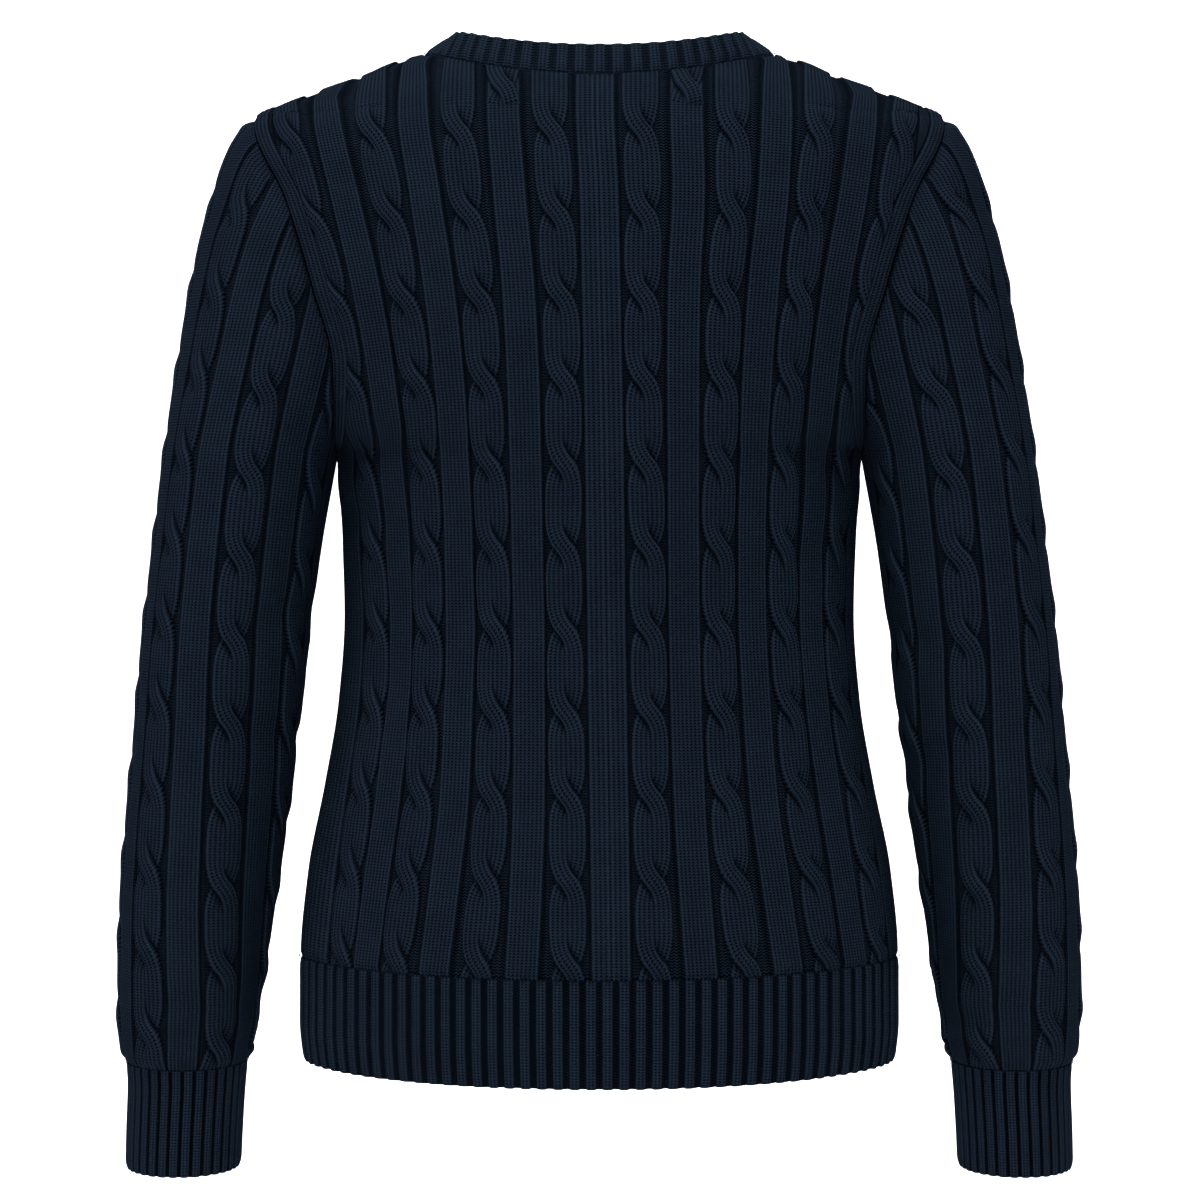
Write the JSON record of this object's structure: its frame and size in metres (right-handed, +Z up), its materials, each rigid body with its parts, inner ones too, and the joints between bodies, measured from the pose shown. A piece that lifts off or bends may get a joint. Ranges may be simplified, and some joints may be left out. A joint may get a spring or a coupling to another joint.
{
  "type": "cable knit v-neck sweater",
  "caption": "Long-sleeved cable knit sweater with a V neck, ribbed neckband, ribbed hem and ribbed cuffs, hollow and filled out as worn.",
  "frame": {"origin": "midway between the two points where the shoulders meet the neckband, which is where the sweater hangs on its wearer's shoulders", "axes": "+Z up along the wearer's spine, -Y the wearer's front, +X the wearer's left"},
  "size_m": [0.5726, 0.2185, 0.6693],
  "materials": {
    "cable_knit": "matte combed cotton knit, dark navy",
    "rib_knit": "matte combed cotton rib knit, dark navy"
  },
  "bodies": {
    "root": {"body_back": "cable_knit", "body_front": "cable_knit", "sleeve_left": "cable_knit", "sleeve_right": "cable_knit", "neckband": "rib_knit", "hem_rib_back": "rib_knit", "hem_rib_front": "rib_knit", "cuff_left": "rib_knit", "cuff_right": "rib_knit"}
  },
  "joints": []
}
